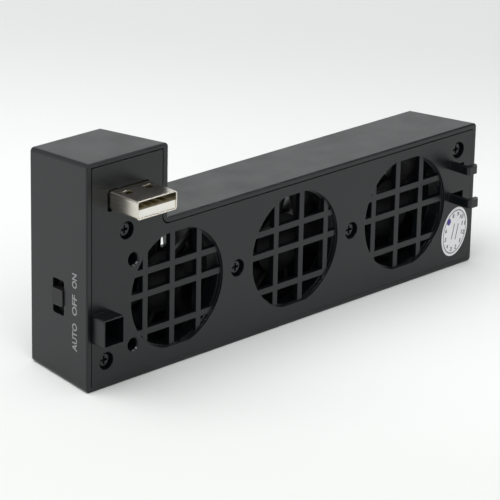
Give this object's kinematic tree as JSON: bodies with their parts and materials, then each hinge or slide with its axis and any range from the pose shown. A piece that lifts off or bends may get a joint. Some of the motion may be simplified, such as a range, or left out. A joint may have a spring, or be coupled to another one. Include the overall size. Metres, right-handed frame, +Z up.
{
  "type": "console cooling fan",
  "caption": "L-shaped clip-on console cooler: a row of guarded fans in a tapered black housing, with a protruding USB plug, end hooks, a sensor port and a slide switch.",
  "frame": {"origin": "middle of the bounding box, at the height of the bottom front edge", "axes": "+X along the body away from the tall end, +Y from the front plate to the back, +Z up"},
  "size_m": [0.1314, 0.0308, 0.0552],
  "materials": {
    "black_abs": "fine matt texture",
    "black_screw": "black oxide",
    "label": "printed film",
    "nickel": "bright nickel plate",
    "white_insulator": "moulded",
    "gold_contact": "gold flash",
    "circuit_board": "solder mask",
    "chip": "moulded",
    "capacitor_can": "bright can",
    "connector": "moulded",
    "steel": "plated",
    "epoxy": "dipped",
    "knob_plastic": "moulded",
    "fan_plastic": "moulded",
    "bronze": "sintered",
    "iron": "laminated",
    "copper": "enamelled wire",
    "magnet": "ferrite",
    "lead_pvc": "smooth"
  },
  "bodies": {
    "case": {"rear_housing": "black_abs", "front_plate": "black_abs", "case_screws": "black_screw", "inspection_sticker": "label", "plug_shell": "nickel", "plug_insulator": "white_insulator", "plug_contacts": "gold_contact", "control_board": "circuit_board", "speed_chip": "chip", "smoothing_capacitor": "capacitor_can", "fan_connectors": "connector", "board_screws": "steel", "thermistor": "epoxy", "slide_switch": "steel", "fan_1_frame": "fan_plastic", "fan_1_bearing": "bronze", "fan_1_stator": "iron", "fan_1_coils": "copper", "fan_1_board": "circuit_board", "fan_1_lead": "lead_pvc", "fan_2_frame": "fan_plastic", "fan_2_bearing": "bronze", "fan_2_stator": "iron", "fan_2_coils": "copper", "fan_2_board": "circuit_board", "fan_2_lead": "lead_pvc", "fan_3_frame": "fan_plastic", "fan_3_bearing": "bronze", "fan_3_stator": "iron", "fan_3_coils": "copper", "fan_3_board": "circuit_board", "fan_3_lead": "lead_pvc"},
    "fan_1": {"fan_1_rotor": "fan_plastic", "fan_1_magnet": "magnet", "fan_1_shaft": "steel"},
    "fan_2": {"fan_2_rotor": "fan_plastic", "fan_2_magnet": "magnet", "fan_2_shaft": "steel"},
    "fan_3": {"fan_3_rotor": "fan_plastic", "fan_3_magnet": "magnet", "fan_3_shaft": "steel"},
    "knob": {"switch_knob": "knob_plastic"}
  },
  "joints": [
    {"name": "fan_1_spin", "type": "hinge", "parent": "case", "child": "fan_1", "pos_m": [-0.0377, 0.00415, 0.019], "axis": [0, 1, 0], "continuous": true},
    {"name": "fan_2_spin", "type": "hinge", "parent": "case", "child": "fan_2", "pos_m": [0.0011, 0.00415, 0.019], "axis": [0, 1, 0], "continuous": true},
    {"name": "fan_3_spin", "type": "hinge", "parent": "case", "child": "fan_3", "pos_m": [0.0399, 0.00415, 0.019], "axis": [0, 1, 0], "continuous": true},
    {"name": "switch_slide", "type": "slide", "parent": "case", "child": "knob", "axis": [0, 0, 1], "range_m": [-0.002, 0.002]}
  ]
}
